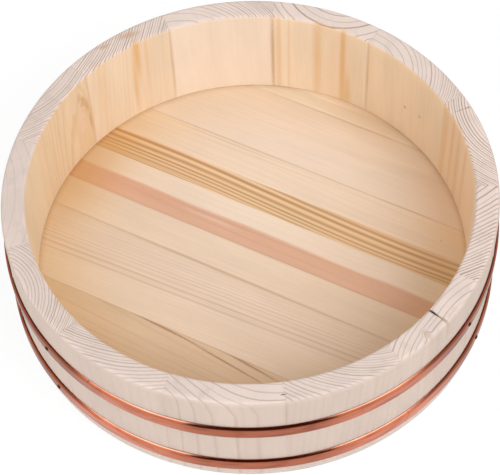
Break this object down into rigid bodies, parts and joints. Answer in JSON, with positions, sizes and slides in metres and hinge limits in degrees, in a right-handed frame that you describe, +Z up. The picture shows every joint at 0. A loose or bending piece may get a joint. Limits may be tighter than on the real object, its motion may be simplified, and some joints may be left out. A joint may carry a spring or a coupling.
{
  "type": "sushi rice tub",
  "caption": "Round shallow wooden tub of upright staves around a boarded floor, bound by copper bands, for cooling and dressing sushi rice.",
  "frame": {"origin": "on the table, at the middle of the tub's foot", "axes": "+Z up along the tub's axis, -Y towards the viewer of the picture, +X to that viewer's right"},
  "size_m": [0.3332, 0.3341, 0.095],
  "materials": {
    "stave_wood": "planed, unfinished",
    "floor_wood": "planed, unfinished",
    "heartwood": "planed, unfinished",
    "bamboo": "split and rounded",
    "copper": "polished copper",
    "nail_copper": "darkened copper"
  },
  "bodies": {
    "root": {"stave_01": "stave_wood", "stave_02": "stave_wood", "stave_03": "stave_wood", "stave_04": "stave_wood", "stave_05": "stave_wood", "stave_06": "stave_wood", "stave_07": "stave_wood", "stave_08": "stave_wood", "stave_09": "stave_wood", "stave_10": "stave_wood", "stave_11": "stave_wood", "stave_12": "stave_wood", "stave_13": "stave_wood", "stave_14": "stave_wood", "stave_pin_01": "bamboo", "stave_pin_02": "bamboo", "stave_pin_03": "bamboo", "stave_pin_04": "bamboo", "stave_pin_05": "bamboo", "stave_pin_06": "bamboo", "stave_pin_07": "bamboo", "stave_pin_08": "bamboo", "stave_pin_09": "bamboo", "stave_pin_10": "bamboo", "stave_pin_11": "bamboo", "stave_pin_12": "bamboo", "stave_pin_13": "bamboo", "stave_pin_14": "bamboo", "floor_board_01": "floor_wood", "floor_board_02": "floor_wood", "floor_board_03": "floor_wood", "floor_board_04": "heartwood", "floor_board_05": "floor_wood", "floor_board_06": "floor_wood", "floor_board_07": "floor_wood", "floor_pin_01": "bamboo", "floor_pin_02": "bamboo", "floor_pin_03": "bamboo", "floor_pin_04": "bamboo", "floor_pin_05": "bamboo", "floor_pin_06": "bamboo", "floor_pin_07": "bamboo", "floor_pin_08": "bamboo", "floor_pin_09": "bamboo", "floor_pin_10": "bamboo", "floor_pin_11": "bamboo", "floor_pin_12": "bamboo", "upper_band": "copper", "lower_band": "copper", "upper_nail_01": "nail_copper", "upper_nail_02": "nail_copper", "upper_nail_03": "nail_copper", "lower_nail_01": "nail_copper", "lower_nail_02": "nail_copper", "lower_nail_03": "nail_copper"}
  },
  "joints": []
}
